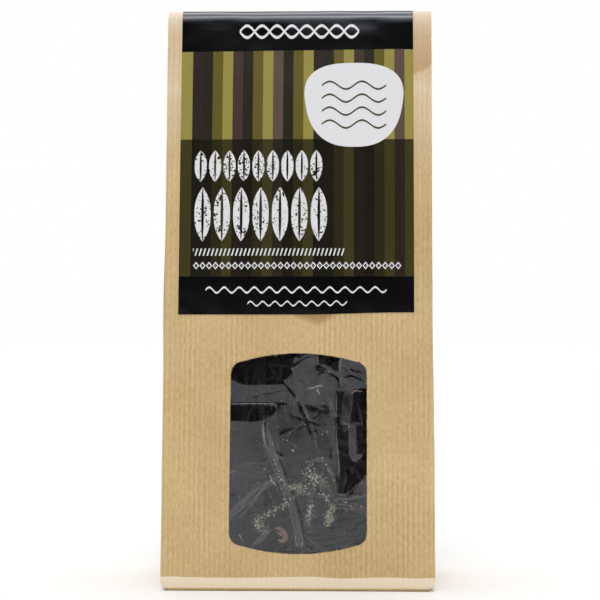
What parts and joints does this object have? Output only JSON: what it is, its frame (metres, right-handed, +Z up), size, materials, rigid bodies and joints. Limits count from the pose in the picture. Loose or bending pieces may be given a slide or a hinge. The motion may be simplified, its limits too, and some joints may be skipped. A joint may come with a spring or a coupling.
{
  "type": "bag of dried sea spaghetti seaweed",
  "caption": "Block-bottom kraft paper bag, its top folded over and held by a wrapped label, with a film window over tangled strips of dried sea spaghetti seaweed.",
  "frame": {"origin": "middle of the bag's footprint, on the surface it stands on", "axes": "+Z up, -Y out of the windowed front, +X to the right as seen from the front"},
  "size_m": [0.1, 0.0603, 0.214],
  "materials": {
    "kraft_paper": "matt, finely ribbed",
    "clear_film": "clear, glossy, creased",
    "printed_paper": "printed, satin coated",
    "dried_seaweed": "dry, furrowed, with a bloom of salt"
  },
  "bodies": {
    "root": {"paper_bag": "kraft_paper", "window_film": "clear_film", "printed_label": "printed_paper", "seaweed_frond_01": "dried_seaweed", "seaweed_frond_02": "dried_seaweed", "seaweed_frond_03": "dried_seaweed", "seaweed_frond_04": "dried_seaweed", "seaweed_frond_05": "dried_seaweed", "seaweed_frond_06": "dried_seaweed", "seaweed_frond_07": "dried_seaweed", "seaweed_frond_08": "dried_seaweed", "seaweed_frond_09": "dried_seaweed", "seaweed_frond_10": "dried_seaweed", "seaweed_frond_11": "dried_seaweed", "seaweed_frond_12": "dried_seaweed", "seaweed_frond_13": "dried_seaweed", "seaweed_frond_14": "dried_seaweed"}
  },
  "joints": []
}
